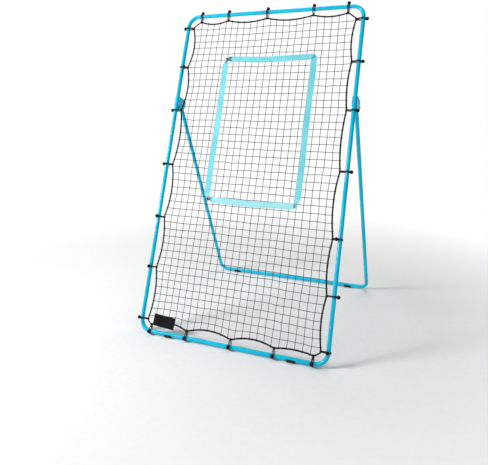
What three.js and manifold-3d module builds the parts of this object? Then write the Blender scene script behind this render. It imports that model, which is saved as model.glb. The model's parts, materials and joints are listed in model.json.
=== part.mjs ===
// A pitch back rebounder: a leaning tube frame with a net held in it by ball bungees, and a stand
// behind it that folds flat against the frame.
//
// Millimetres, +Z up. X runs along the bars, +Y is behind the net, and the net faces -Y.
// The front frame is drawn upright in its own group, where x is across, y is behind the net and
// z runs up along the side tubes from the middle of the bottom bar, and the group is then leaned back.
// The rear stand is drawn hanging straight down from its pivots, and its group is then swung back.
import * as THREE from "three";
import { mergeVertices } from "three/addons/utils/BufferGeometryUtils.js";
import Module from "manifold-3d";

const wasm = await Module();
wasm.setup();

// ---------------------------------------------------------------- driving dimensions

const gap = 0.3; // between pieces that touch or slide on each other

const frameWidth = 1219.2; // outside the side tubes
const frameHeight = 2134; // outside the top and bottom bars, along the lean
const tubeDiameter = 25.4;
const tubeWall = 1.2;
const frameCornerRadius = 72; // of the tube's centreline
const barLeg = 180; // each bar's short legs, from its centreline
const spigotLength = 60; // the narrowed end that enters the next tube
const spigotRoot = 4; // thick ring where the wall steps in to the spigot
const middleJoint = 1000; // height of the joint between a side's two tubes

// The side tubes up to the pivots, the rear legs and the ground between the bars make a triangle,
// and its three lengths set how far the frame leans back.
const pivotHeight = 1505; // along the side tubes
const legLength = 1505; // pivot to the middle of the rear bar
const standDepth = 1190; // from the bottom bar to the rear bar
const pivotSetback = 40; // from the side tubes' centreline to the pivot
const legTop = 14; // of leg above the pivot
const rearCornerRadius = 50;

const plateThickness = 3; // bracket's two cheeks and the web between them
const plateFront = 3; // how far the cheeks reach in front of the tube's centreline
const plateRise = 30; // cheek above the pivot at the tube
const plateDrop = 30; // cheek below the pivot at the tube
const webHeight = 44; // the web between the cheeks, centred on the pivot
const holeCircle = 40; // radius of the row of stop pin holes about the pivot
const holeSpacing = 14; // degrees from one hole to the next
const holesBelow = 2; // holes on either side of the one in use
const holesAbove = 2;
const holeMargin = 9; // plate left beyond the row of holes
const plateCorner = 26; // run of the rounded corner from the rim to the top edge

const pivotDiameter = 8;
const rivetHeadDiameter = 15;
const rivetHeadHeight = 3.2;
const pinDiameter = 6;
const pinTip = 5; // pin beyond the inner cheek
const pinChamfer = 1.2;
const headDiameter = 14; // of the stop pin
const headLength = 6;
const headChamfer = 1.5;

const buttonDiameter = 6.4;
const buttonRise = 3; // above the tube
const buttonChamfer = 1;
const buttonInset = 26; // from the outer tube's end
const leafLength = 30;
const leafWidth = 7;
const leafThickness = 0.8;
const leafDepth = 2.2; // from the spigot's bore down to the leaf

const padThickness = 5.5; // under each bar
const padLength = 50;
const padWrap = 100; // degrees that a pad covers on each side of straight down
const frontPadInset = 203; // from a side tube's centreline to the middle of a pad
const rearPadInset = 143; // less, so that the pads miss each other when the stand is folded

const ropeDiameter = 7;
const ropeInsetSide = 42; // side tube's centreline to the rope, where a bungee holds it
const ropeInsetEnd = 42; // the same at the top and bottom bars
const scallopSide = 18; // how far the rope draws in between two bungees
const scallopEnd = 24;
const ropeRun = 7; // straight rope on each side of a bungee

const netPitch = 104; // the real mesh is about 46, too fine to model here
const strandWidth = 3;
const strandThickness = 2.5;
const strandMargin = 14; // least room from the outermost strand to the rope

const targetWidth = 593; // between the middles of the side bands
const targetRows = 9; // rows of net that the target spans
const targetAside = 23.5; // its middle is this far right of the frame's
const targetBottom = 854; // height of the lower band's middle
const bandWidth = 38;
const bandThickness = 1.5;
const bandPinch = 14; // width where a corner is gathered
const pinchRun = 30; // length over which it widens again
const tieDiameter = 2.4;
const tieInset = 18; // from the target's corner along its top or bottom band

const tagWidth = 150;
const tagHeight = 72;
const tagThickness = 1.2;
const tagFromSide = 160; // left side tube's centreline to the middle of the tag
const tagFromBar = 71; // bottom bar's centreline to the middle of the tag
const tagTilt = 4; // degrees, left end up
const tagCornerRadius = 4;

const ballDiameter = 22;
const bungeeDiameter = 4.5;

// Where the bungees sit. They start this far past a corner's bend, and each ball has its place round
// its tube. The loops slip along the tubes in use, so each has its own slip, down or to the right,
// from where even spacing would put it.
const hookPastBend = 7;
const outside = 0; // degrees round the tube
const inFront = 90;
const inside = 145;
const leftHooks = [[5, outside], [-38, inside], [-59, outside], [-14, outside], [11, inFront],
  [10, inFront], [8, outside]];
const rightHooks = [[7, outside], [-46, outside], [-68, outside], [-25, outside], [40, inside],
  [32, outside], [7, inFront]];
const topHooks = [[16, outside], [-43, outside], [-26, outside], [24, outside], [-17, outside]];
const bottomHooks = [[-5, inFront], [-15, inFront], [17, inFront], [29, inFront], [-2, inFront]];

const tubeSides = 12;
const smallSides = 8; // pins, rivets, buttons and their holes
const bendSteps = 7;

// ---------------------------------------------------------------- sizes that follow

const tubeRadius = tubeDiameter / 2;
const boreRadius = tubeRadius - tubeWall;
const spigotRadius = boreRadius - gap;
const spigotBore = spigotRadius - tubeWall;
const halfSpan = frameWidth / 2 - tubeRadius; // middle of the frame to a side tube's centreline
const topHeight = frameHeight - tubeDiameter; // bottom bar's centreline to the top bar's
const standHeight = tubeRadius + padThickness; // ground to a bar's centreline
const ropeRadius = ropeDiameter / 2;
const bungeeRadius = bungeeDiameter / 2;
const netFront = -strandThickness / 2;

const pivotReach = Math.hypot(pivotHeight, pivotSetback); // bottom bar to the pivots
const footAngle = Math.acos(
  (pivotReach ** 2 + standDepth ** 2 - legLength ** 2) / (2 * pivotReach * standDepth));
const lean = Math.PI / 2 - footAngle - Math.atan2(pivotSetback, pivotHeight);
const pivotAboveBars = pivotHeight * Math.cos(lean) - pivotSetback * Math.sin(lean);
const legSwing = Math.acos(pivotAboveBars / legLength); // leg back from upright, bars level
const standAngle = lean + legSwing; // between the leg and the side tube
const pinOffset = Math.asin((tubeRadius + pinDiameter / 2 + gap) / holeCircle);
const pinAngle = standAngle + pinOffset; // the hole in use, from straight down the side tube
const cheekInside = tubeRadius + gap;
const cheekOutside = cheekInside + plateThickness;

// ---------------------------------------------------------------- finishes

const paint = { color: "#08c2e4", roughness: 0.3, metalness: 0.2 };
const zinc = { color: "#b4b8bb", roughness: 0.35, metalness: 0.9 };
const rubber = { color: "#141414", roughness: 0.85, metalness: 0 };
const elastic = { color: "#0b0b0c", roughness: 0.7, metalness: 0 };
const netting = { color: "#17181a", roughness: 0.9, metalness: 0 };
const webbing = { color: "#70d8e5", roughness: 0.75, metalness: 0 };
const tagCloth = { color: "#08080a", roughness: 0.8, metalness: 0 };

// ---------------------------------------------------------------- solids and tools

// A closed three.js geometry as a solid that can be joined and cut.
function solid(geometry) {
  const bare = geometry.clone();
  bare.deleteAttribute("normal");
  bare.deleteAttribute("uv");
  const merged = mergeVertices(bare, 1e-4);
  return new wasm.Manifold(new wasm.Mesh({
    numProp: 3,
    vertProperties: merged.attributes.position.array,
    triVerts: new Uint32Array(merged.index.array),
  }));
}

// A solid as a three.js geometry.
function shaped(body) {
  const mesh = body.getMesh();
  const geometry = new THREE.BufferGeometry();
  geometry.setAttribute("position", new THREE.BufferAttribute(mesh.vertProperties, 3));
  geometry.setIndex(new THREE.BufferAttribute(mesh.triVerts, 1));
  return geometry;
}

const join = (first, ...others) => shaped(others.reduce((all, g) => all.add(solid(g)), solid(first)));
const cut = (first, ...tools) => shaped(tools.reduce((all, g) => all.subtract(solid(g)), solid(first)));
const common = (first, second) => shaped(solid(first).intersect(solid(second)));

// A radius at which the flats of a faceted hole still clear a pin of that radius.
const holeFor = (radius, sides = smallSides) => (radius + gap) / Math.cos(Math.PI / sides);

// A profile of [radius, height] points turned about Z. It closes on itself, or ends on the axis.
function turned(profile, sides) {
  const points = profile.map(([radius, height]) => new THREE.Vector2(radius, height));
  return new THREE.LatheGeometry(points, sides).rotateX(Math.PI / 2);
}

// A hollow turned piece: the profile is closed for it.
const turnedRing = (profile, sides) => turned([...profile, profile[0]], sides);

// A round bar along X, centred on the origin.
const crossBar = (radius, length, sides = smallSides) =>
  new THREE.CylinderGeometry(radius, radius, length, sides).rotateZ(Math.PI / 2);

function ringShape(outer, inner) {
  const shape = new THREE.Shape().absarc(0, 0, outer, 0, 2 * Math.PI);
  shape.holes.push(new THREE.Path().absarc(0, 0, inner, 0, 2 * Math.PI, true));
  return shape;
}

// A path through given points that an extrusion steps at those points, so that bends get short
// steps and straight runs get one.
class Route extends THREE.Curve {
  constructor(points) {
    super();
    this.points = points;
  }

  getPointAt(u) {
    return this.points[Math.round(u * (this.points.length - 1))].clone();
  }

  getTangentAt(u) {
    const last = this.points.length - 1;
    const here = Math.round(u * last);
    const before = this.points[Math.max(here - 1, 0)];
    const after = this.points[Math.min(here + 1, last)];
    const into = this.points[here].clone().sub(before).normalize();
    const out = after.clone().sub(this.points[here]).normalize();
    return into.add(out).normalize();
  }
}

// A solid or hollow tube along a route, with flat ends.
function tubeAlong(points, section) {
  return new THREE.ExtrudeGeometry(section, {
    steps: points.length - 1,
    extrudePath: new Route(points),
    curveSegments: tubeSides / 2,
    bevelEnabled: false,
  });
}

// A cord that follows a flat closed path and meets its own start. The path lies in a plane with the
// given normal, and the points of the cord's section are [across the path, along the normal].
function closedLoop(points, normal, section) {
  const positions = [];
  const indices = [];
  const count = points.length;
  const sides = section.length;
  points.forEach((point, i) => {
    const before = points[(i + count - 1) % count];
    const after = points[(i + 1) % count];
    const into = point.clone().sub(before).normalize();
    const along = after.clone().sub(point).normalize().add(into).normalize();
    const side = normal.clone().cross(along);
    section.forEach(([across, out], k) => {
      const corner = point.clone().addScaledVector(side, across).addScaledVector(normal, out);
      positions.push(...corner.toArray());
      const here = i * sides + k;
      const beside = i * sides + ((k + 1) % sides);
      const next = ((i + 1) % count) * sides + k;
      const nextBeside = ((i + 1) % count) * sides + ((k + 1) % sides);
      indices.push(here, nextBeside, next, here, beside, nextBeside);
    });
  });
  const geometry = new THREE.BufferGeometry();
  geometry.setAttribute("position", new THREE.Float32BufferAttribute(positions, 3));
  geometry.setIndex(indices);
  return geometry;
}

// Points on an arc in a flat plane, from one angle to another, in radians.
function arcPoints(centreA, centreB, radius, from, to, steps) {
  const points = [];
  for (let i = 0; i <= steps; i++) {
    const turn = from + ((to - from) * i) / steps;
    points.push([centreA + radius * Math.cos(turn), centreB + radius * Math.sin(turn)]);
  }
  return points;
}

const roundSection = (radius, sides) => arcPoints(0, 0, radius, 0, 2 * Math.PI, sides).slice(1);

// A flat outline of [a, b] points, thickened along Z.
function slab(outline, thickness, holes = []) {
  const shape = new THREE.Shape(outline.map(([a, b]) => new THREE.Vector2(a, b)));
  shape.holes = holes.map((hole) => new THREE.Path(hole.map(([a, b]) => new THREE.Vector2(a, b))));
  return new THREE.ExtrudeGeometry(shape, { depth: thickness, bevelEnabled: false });
}

// A slab whose outline is given as [x, z], with its thickness from y = front backwards.
const uprightSlab = (outline, front, thickness, holes) =>
  slab(outline, thickness, holes).rotateX(Math.PI / 2).translate(0, front + thickness, 0);

// A slab whose outline is given as [y, z], with its thickness from x = left rightwards.
const sidewaysSlab = (outline, left, thickness) =>
  slab(outline, thickness).rotateX(Math.PI / 2).rotateZ(Math.PI / 2).translate(left, 0, 0);

function piece(name, geometry, finish) {
  const mesh = new THREE.Mesh(geometry, new THREE.MeshStandardMaterial(finish));
  mesh.name = name;
  return mesh;
}

// ---------------------------------------------------------------- tubes

// The narrowed end of a tube, from its shoulder at the given height up to its mouth and back down
// to the thick root inside.
const spigotProfile = (shoulder) => [
  [spigotRadius, shoulder], [spigotRadius, shoulder + spigotLength],
  [spigotBore, shoulder + spigotLength], [spigotBore, shoulder - spigotRoot],
];

// A hole through one wall of a tube, for a snap button that faces -Y.
function buttonHole(height) {
  const radius = holeFor(buttonDiameter / 2);
  return new THREE.CylinderGeometry(radius, radius, tubeRadius, smallSides)
    .translate(0, -tubeRadius, height);
}

// A straight tube from z = 0 to z = length, with a spigot above that and a button hole at each end.
function sideTube(length) {
  const blank = turnedRing([
    [tubeRadius, 0], [tubeRadius, length], ...spigotProfile(length),
    [boreRadius, length - 2 * spigotRoot], [boreRadius, 0],
  ], tubeSides);
  return cut(blank, buttonHole(buttonInset), buttonHole(length + gap + buttonInset));
}

// Centreline of a bar with short legs that point up, from the left leg's end to the right one's.
function barRoute(radius) {
  const left = arcPoints(-halfSpan + radius, radius, radius, Math.PI, 1.5 * Math.PI, bendSteps);
  const right = arcPoints(halfSpan - radius, radius, radius, 1.5 * Math.PI, 2 * Math.PI, bendSteps);
  return [[-halfSpan, barLeg], ...left, ...right, [halfSpan, barLeg]]
    .map(([x, z]) => new THREE.Vector3(x, 0, z));
}

const onBothLegs = (tool) => [-halfSpan, halfSpan].map((x) => tool.clone().translate(x, 0, 0));

// A bar with short legs that end plain, to receive the spigots of the tubes below.
function socketBar(radius) {
  const blank = tubeAlong(barRoute(radius), ringShape(tubeRadius, boreRadius));
  return cut(blank, ...onBothLegs(buttonHole(barLeg - buttonInset)));
}

// A bar with short legs that end in spigots, to enter the tubes above.
function spigotBar(radius) {
  const blank = tubeAlong(barRoute(radius), ringShape(tubeRadius, boreRadius));
  const insideWall = tubeRadius - tubeWall / 2;
  const spigot = turnedRing([
    [insideWall, barLeg - 2 * spigotRoot], [insideWall, barLeg], ...spigotProfile(barLeg),
  ], tubeSides);
  return cut(join(blank, ...onBothLegs(spigot)), ...onBothLegs(buttonHole(barLeg + gap + buttonInset)));
}

// A rear leg from its lower end at z = 0 up past its pivot, with the pivot's hole across it.
function rearLeg(length) {
  const blank = turnedRing([
    [tubeRadius, 0], [tubeRadius, length], [boreRadius, length], [boreRadius, 0],
  ], tubeSides);
  const pivotHole = crossBar(holeFor(pivotDiameter / 2), 2 * tubeDiameter);
  return cut(blank, buttonHole(buttonInset), pivotHole.translate(0, 0, length - legTop));
}

// ---------------------------------------------------------------- hinge

// A bracket: two cheeks beside the side tube and the leg, joined by a web behind the side tube.
// It is drawn about the pivot.
function hingeBracket() {
  const plateRadius = holeCircle + holeMargin;
  const holeStep = THREE.MathUtils.degToRad(holeSpacing);
  const reach = Math.asin(holeMargin / holeCircle);
  const lowest = pinAngle - holesBelow * holeStep - reach;
  const highest = pinAngle + holesAbove * holeStep + reach;
  const onCircle = (radius, angle) => [radius * Math.sin(angle), -radius * Math.cos(angle)];
  const rimSteps = 8;
  const down = -Math.PI / 2;
  const rim = arcPoints(0, 0, plateRadius, down + lowest, down + highest, rimSteps);
  const [rimY, rimZ] = onCircle(plateRadius, highest);
  const corner = arcPoints(0, 0, 1, 0, Math.PI / 2, 3).slice(1).map(([across, up]) =>
    [rimY - plateCorner * (1 - across), rimZ + (plateRise - rimZ) * up]);
  const front = -pivotSetback - plateFront;
  const outline = [[front, -plateDrop], ...rim, ...corner, [front, plateRise]];
  const holes = [];
  for (let i = -holesBelow; i <= holesAbove; i++) {
    const [y, z] = onCircle(holeCircle, pinAngle + i * holeStep);
    holes.push(crossBar(holeFor(pinDiameter / 2), 4 * cheekOutside).translate(0, y, z));
  }
  holes.push(crossBar(holeFor(pivotDiameter / 2), 4 * cheekOutside));
  const web = new THREE.BoxGeometry(2 * cheekInside + plateThickness, plateThickness, webHeight);
  const blank = join(
    web.translate(0, -pivotSetback + tubeRadius + gap + plateThickness / 2, 0),
    sidewaysSlab(outline, cheekInside, plateThickness),
    sidewaysSlab(outline, -cheekOutside, plateThickness));
  return cut(blank, ...holes);
}

// A rivet along X through both cheeks and the leg.
function pivotRivet() {
  const half = cheekOutside + gap;
  const end = half + rivetHeadHeight;
  return turned([
    [0, -end], [rivetHeadDiameter / 4, -end], [rivetHeadDiameter / 2, -half], [pivotDiameter / 2, -half],
    [pivotDiameter / 2, half], [rivetHeadDiameter / 2, half], [rivetHeadDiameter / 4, end], [0, end],
  ], smallSides).rotateY(Math.PI / 2);
}

// A stop pin along X with its head on the +X side.
function stopPin() {
  const tip = -cheekOutside - pinTip;
  const head = cheekOutside + gap;
  const radius = pinDiameter / 2;
  const rim = headDiameter / 2;
  const end = head + headLength;
  return turned([
    [0, tip], [radius - pinChamfer, tip], [radius, tip + pinChamfer], [radius, head],
    [rim, head], [rim, end - headChamfer], [rim - headChamfer, end], [0, end],
  ], smallSides).rotateY(Math.PI / 2);
}

// A snap button that faces -Y, on the leaf that springs it out of the spigot's bore.
function snapButton() {
  const leafTop = spigotBore - leafDepth;
  const top = tubeRadius + buttonRise;
  const radius = buttonDiameter / 2;
  const button = turned([
    [0, leafTop - leafThickness / 2], [radius, leafTop - leafThickness / 2], [radius, top - buttonChamfer],
    [radius - buttonChamfer, top], [0, top],
  ], smallSides).rotateX(Math.PI / 2);
  const leaf = new THREE.BoxGeometry(leafWidth, leafThickness, leafLength);
  return join(leaf.translate(0, -leafTop + leafThickness / 2, 0), button);
}

// A rubber pad that clips round the underside of a bar along X, flat where it stands. It is drawn
// about the bar's centreline, with the ground straight below.
function footPad() {
  const steps = 10;
  const wrap = THREE.MathUtils.degToRad(padWrap);
  const step = (2 * wrap) / steps;
  const down = -Math.PI / 2;
  const inner = (tubeRadius + gap) / Math.cos(step / 2);
  const outer = standHeight / Math.cos(step); // its corners beside the lowest one meet the ground
  const outline = [
    ...arcPoints(0, 0, outer, down - wrap, down + wrap, steps)
      .map(([y, z]) => [y, Math.max(z, -standHeight)]),
    ...arcPoints(0, 0, inner, down + wrap, down - wrap, steps),
  ];
  return sidewaysSlab(outline, -padLength / 2, padLength);
}

// ---------------------------------------------------------------- net panel

const leftX = -halfSpan + ropeInsetSide;
const rightX = halfSpan - ropeInsetSide;
const lowZ = ropeInsetEnd;
const highZ = topHeight - ropeInsetEnd;

// Places of the strands along one way of the net, counted out from a place that has one.
function strandPlaces(from, low, high) {
  const places = [];
  for (let k = Math.ceil((low - from) / netPitch); from + k * netPitch <= high; k++) {
    places.push(from + k * netPitch);
  }
  return places;
}

const columns = strandPlaces(
  netPitch / 2, leftX + scallopSide + strandMargin, rightX - scallopSide - strandMargin);
const rows = strandPlaces(
  targetBottom, lowZ + scallopEnd + strandMargin, highZ - scallopEnd - strandMargin);

// Heights of the side tubes' lower ends, above each of which a snap button sits.
const jointHeights = {
  bottom: barLeg + gap,
  middle: middleJoint + gap,
  top: topHeight - barLeg,
};

// What a bungee keeps beside, as [place, half width]: the ends of the net's strands, and on the side
// tubes also the snap buttons and the hinge brackets.
const obstaclesAcross = columns.map((x) => [x, strandWidth / 2]);
const obstaclesUp = [
  ...rows.map((z) => [z, strandWidth / 2]),
  ...Object.values(jointHeights).map((z) => [z + buttonInset, buttonDiameter / 2]),
  [pivotHeight, Math.max(plateRise, plateDrop) + ballDiameter / 2],
];

function keptClear(place, obstacles) {
  let clear = place;
  for (const [at, half] of obstacles) {
    const room = half + bungeeDiameter + gap; // half of a bungee's two cords is one diameter
    const off = clear - at;
    if (Math.abs(off) < room) clear = at + (off < 0 ? -room : room);
  }
  return clear;
}

// Places of a tube's bungees from one of its ends to the other, with their balls' turns.
function hookPlaces(hooks, from, to, obstacles) {
  const way = Math.sign(to - from);
  const first = from + way * (frameCornerRadius + hookPastBend);
  const last = to - way * (frameCornerRadius + hookPastBend);
  return hooks.map(([slip, ballTurn], i) => {
    const even = first + ((last - first) * i) / (hooks.length - 1);
    return { place: keptClear(even + way * slip, obstacles), ballTurn };
  });
}

const leftPlaces = hookPlaces(leftHooks, topHeight, 0, obstaclesUp);
const rightPlaces = hookPlaces(rightHooks, topHeight, 0, obstaclesUp);
const topPlaces = hookPlaces(topHooks, -halfSpan, halfSpan, obstaclesAcross);
const bottomPlaces = hookPlaces(bottomHooks, -halfSpan, halfSpan, obstaclesAcross);

// One side of the border rope as [x, z] points: straight past each bungee, and drawn in between two
// of them. The function turns a place along the side and a distance inwards into a point.
function ropeSide(hooks, scallop, pointAt) {
  const stops = hooks.map(({ place }) => place);
  const way = Math.sign(stops[stops.length - 1] - stops[0]);
  return stops.flatMap((stop, i) => {
    const points = [pointAt(stop - way * ropeRun, 0), pointAt(stop + way * ropeRun, 0)];
    if (i === stops.length - 1) return points;
    const start = stop + way * ropeRun;
    const length = stops[i + 1] - way * ropeRun - start;
    for (const share of [0.22, 0.5, 0.78]) {
      points.push(pointAt(start + length * share, 4 * scallop * share * (1 - share)));
    }
    return points;
  });
}

// The border rope's centreline, clockwise from the bottom of the left side.
const ropeRoute = [
  ...ropeSide([...leftPlaces].reverse(), scallopSide, (z, inward) => [leftX + inward, z]),
  ...ropeSide(topPlaces, scallopEnd, (x, inward) => [x, highZ - inward]),
  ...ropeSide(rightPlaces, scallopSide, (z, inward) => [rightX - inward, z]),
  ...ropeSide([...bottomPlaces].reverse(), scallopEnd, (x, inward) => [x, lowZ + inward]),
];

// A closed outline moved inwards. The points run clockwise.
function insetOutline(points, distance) {
  const count = points.length;
  return points.map(([x, z], i) => {
    const [beforeX, beforeZ] = points[(i + count - 1) % count];
    const [afterX, afterZ] = points[(i + 1) % count];
    const into = new THREE.Vector2(x - beforeX, z - beforeZ).normalize();
    const out = new THREE.Vector2(afterX - x, afterZ - z).normalize();
    const along = into.clone().add(out).normalize();
    const mitre = distance / along.dot(out);
    return [x + along.y * mitre, z - along.x * mitre];
  });
}

// The net: crossing strands that end just short of the rope.
function net() {
  const depth = 2 * strandThickness;
  const room = uprightSlab(insetOutline(ropeRoute, ropeRadius + gap), -depth / 2, depth);
  const upStrands = columns.map((x) =>
    new THREE.BoxGeometry(strandWidth, strandThickness, topHeight).translate(x, 0, topHeight / 2));
  const acrossStrands = rows.map((z) =>
    new THREE.BoxGeometry(frameWidth, strandThickness, strandWidth).translate(0, 0, z));
  return common(join(...upStrands, ...acrossStrands), room);
}

function borderRope() {
  const points = ropeRoute.map(([x, z]) => new THREE.Vector3(x, 0, z));
  return closedLoop(points, new THREE.Vector3(0, 1, 0), roundSection(ropeRadius, 6));
}

const targetTop = targetBottom + targetRows * netPitch;

// The outer outline of the target's band for side = 1 and the inner one for side = -1. At each
// corner the band is gathered to its pinched width.
function targetOutline(side) {
  const full = (side * bandWidth) / 2;
  const pinched = (side * bandPinch) / 2;
  const gathered = tieInset + tieDiameter;
  const left = targetAside - targetWidth / 2;
  const right = targetAside + targetWidth / 2;
  const corners = [
    [left, targetBottom], [right, targetBottom], [right, targetTop], [left, targetTop],
  ];
  return corners.flatMap((corner, i) => {
    const start = new THREE.Vector2(...corner);
    const end = new THREE.Vector2(...corners[(i + 1) % corners.length]);
    const along = end.clone().sub(start).normalize();
    const out = new THREE.Vector2(along.y, -along.x);
    const at = (origin, forward, outward) =>
      origin.clone().addScaledVector(along, forward).addScaledVector(out, outward).toArray();
    return [
      at(start, -pinched, pinched), at(start, gathered, pinched), at(start, gathered + pinchRun, full),
      at(end, -gathered - pinchRun, full), at(end, -gathered, pinched),
    ];
  });
}

function targetBand() {
  return uprightSlab(targetOutline(1), netFront - gap - bandThickness, bandThickness, [targetOutline(-1)]);
}

// A tie round the pinched end of a band and the strand behind it, in a plane across the band.
function bandTie() {
  const radius = tieDiameter / 2;
  const reach = bandPinch / 2 + gap + radius;
  const front = netFront - gap - bandThickness - gap - radius;
  const back = strandThickness / 2 + gap + radius;
  const corner = radius * 0.6;
  const points = [
    [front, -reach + corner], [front + corner, -reach], [back - corner, -reach], [back, -reach + corner],
    [back, reach - corner], [back - corner, reach], [front + corner, reach], [front, reach - corner],
  ].map(([y, z]) => new THREE.Vector3(0, y, z));
  return closedLoop(points, new THREE.Vector3(1, 0, 0), roundSection(radius, 5));
}

// A plain cloth tag with rounded corners, just in front of the rope and the net.
function tag() {
  const across = tagWidth / 2 - tagCornerRadius;
  const up = tagHeight / 2 - tagCornerRadius;
  const corners = [[across, up], [-across, up], [-across, -up], [across, -up]];
  const outline = corners.flatMap(([x, z], i) =>
    arcPoints(x, z, tagCornerRadius, (i * Math.PI) / 2, ((i + 1) * Math.PI) / 2, 2));
  return uprightSlab(outline, -ropeRadius - gap - tagThickness, tagThickness);
}

// ---------------------------------------------------------------- bungees

// The section of two cords that lie against each other.
const doubledSection = (radius) => [
  ...arcPoints(0, radius, radius, 0, Math.PI, 2), ...arcPoints(0, -radius, radius, Math.PI, 2 * Math.PI, 2),
];

// A ball bungee: a loop of doubled elastic cord round the tube, which runs along Z at the origin, and
// round the rope, which lies a given distance along +X. The ball sits on the loop at a turn from -X
// towards -Y.
function bungee(ropeDistance, ballTurn) {
  const farSteps = 6;
  const nearSteps = 3;
  const round = tubeRadius + gap + bungeeRadius;
  const hook = ropeRadius + gap + bungeeRadius;
  const leave = Math.acos((round - hook) / ropeDistance); // where the straight runs touch both arcs
  const stretch = (radius, span, steps) => radius / Math.cos(span / steps / 2);
  const farSpan = 2 * Math.PI - 2 * leave;
  const path = [
    ...arcPoints(0, 0, stretch(round, farSpan, farSteps), leave, leave + farSpan, farSteps),
    ...arcPoints(ropeDistance, 0, stretch(hook, 2 * leave, nearSteps), -leave, leave, nearSteps),
  ].map(([x, y]) => new THREE.Vector3(x, y, 0));
  const loop = closedLoop(path, new THREE.Vector3(0, 0, 1), doubledSection(bungeeRadius));
  const turn = Math.PI + THREE.MathUtils.degToRad(ballTurn);
  const out = tubeRadius + gap + ballDiameter / 2;
  const ball = new THREE.SphereGeometry(ballDiameter / 2, 8, 5).rotateX(Math.PI / 2);
  return join(loop, ball.translate(out * Math.cos(turn), out * Math.sin(turn), 0));
}

// ---------------------------------------------------------------- assembly

const frontFrame = new THREE.Group();
const rearStand = new THREE.Group();
const sides = { left: -1, right: 1 };

// Puts a mesh into a group, at a place and with turns about X, Y and Z.
function place(group, mesh, position, turns = [0, 0, 0]) {
  mesh.position.set(...position);
  mesh.rotation.set(...turns);
  group.add(mesh);
}

function addFrontTubes() {
  const lowerLength = middleJoint - jointHeights.bottom;
  const upperLength = jointHeights.top - gap - jointHeights.middle;
  place(frontFrame, piece("bottom_bar", spigotBar(frameCornerRadius), paint), [0, 0, 0]);
  place(frontFrame, piece("top_bar", socketBar(frameCornerRadius), paint), [0, 0, topHeight],
    [0, Math.PI, 0]);
  for (const [side, sign] of Object.entries(sides)) {
    const x = sign * halfSpan;
    place(frontFrame, piece(`${side}_lower_tube`, sideTube(lowerLength), paint),
      [x, 0, jointHeights.bottom]);
    place(frontFrame, piece(`${side}_upper_tube`, sideTube(upperLength), paint),
      [x, 0, jointHeights.middle]);
  }
}

function addFrontButtons() {
  for (const [side, sign] of Object.entries(sides)) {
    for (const [level, height] of Object.entries(jointHeights)) {
      const button = piece(`${side}_${level}_snap_button`, snapButton(), zinc);
      place(frontFrame, button, [sign * halfSpan, 0, height + buttonInset]);
    }
  }
}

function addHinges() {
  const pinY = pivotSetback + holeCircle * Math.sin(pinAngle);
  const pinZ = pivotHeight - holeCircle * Math.cos(pinAngle);
  for (const [side, sign] of Object.entries(sides)) {
    const x = sign * halfSpan;
    const pivot = [x, pivotSetback, pivotHeight];
    place(frontFrame, piece(`${side}_hinge_bracket`, hingeBracket(), paint), pivot);
    place(frontFrame, piece(`${side}_pivot_rivet`, pivotRivet(), zinc), pivot);
    place(frontFrame, piece(`${side}_stop_pin`, stopPin(), zinc), [x, pinY, pinZ],
      [0, 0, sign < 0 ? Math.PI : 0]);
  }
}

// The rear stand's buttons face backwards, so its pieces are turned half round.
function addRearStand() {
  const legBottom = -legLength + barLeg + gap; // from the pivot
  const halfTurn = [0, 0, Math.PI];
  place(rearStand, piece("rear_bar", spigotBar(rearCornerRadius), paint), [0, 0, -legLength], halfTurn);
  for (const [side, sign] of Object.entries(sides)) {
    const x = sign * halfSpan;
    place(rearStand, piece(`${side}_rear_leg`, rearLeg(legTop - legBottom), paint),
      [x, 0, legBottom], halfTurn);
    place(rearStand, piece(`${side}_rear_snap_button`, snapButton(), zinc),
      [x, 0, legBottom + buttonInset], halfTurn);
  }
}

// The pads undo their group's turn, so that their soles lie level.
function addFeet() {
  for (const [side, sign] of Object.entries(sides)) {
    place(frontFrame, piece(`front_${side}_foot`, footPad(), rubber),
      [sign * (halfSpan - frontPadInset), 0, 0], [lean, 0, 0]);
    place(rearStand, piece(`rear_${side}_foot`, footPad(), rubber),
      [sign * (halfSpan - rearPadInset), 0, -legLength], [-legSwing, 0, 0]);
  }
}

function addNetPanel() {
  place(frontFrame, piece("net", net(), netting), [0, 0, 0]);
  place(frontFrame, piece("border_rope", borderRope(), elastic), [0, 0, 0]);
  place(frontFrame, piece("target_band", targetBand(), webbing), [0, 0, 0]);
  for (const [side, sign] of Object.entries(sides)) {
    const x = targetAside + sign * (targetWidth / 2 - tieInset);
    place(frontFrame, piece(`bottom_${side}_band_tie`, bandTie(), elastic), [x, 0, targetBottom]);
    place(frontFrame, piece(`top_${side}_band_tie`, bandTie(), elastic), [x, 0, targetTop]);
  }
  place(frontFrame, piece("blank_tag", tag(), tagCloth), [-halfSpan + tagFromSide, 0, tagFromBar],
    [0, THREE.MathUtils.degToRad(tagTilt), 0]);
}

function addBungees() {
  const quarter = Math.PI / 2;
  const lines = {
    left: [leftPlaces, ropeInsetSide, 0, (z) => [-halfSpan, 0, z]],
    right: [rightPlaces, ropeInsetSide, Math.PI, (z) => [halfSpan, 0, z]],
    top: [topPlaces, ropeInsetEnd, quarter, (x) => [x, 0, topHeight]],
    bottom: [bottomPlaces, ropeInsetEnd, -quarter, (x) => [x, 0, 0]],
  };
  for (const [line, [hooks, ropeDistance, turn, at]] of Object.entries(lines)) {
    hooks.forEach(({ place: along, ballTurn }, i) => {
      place(frontFrame, piece(`${line}_bungee_${i + 1}`, bungee(ropeDistance, ballTurn), elastic),
        at(along), [0, turn, 0]);
    });
  }
}

addFrontTubes();
addFrontButtons();
addHinges();
addRearStand();
addFeet();
addNetPanel();
addBungees();

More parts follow.
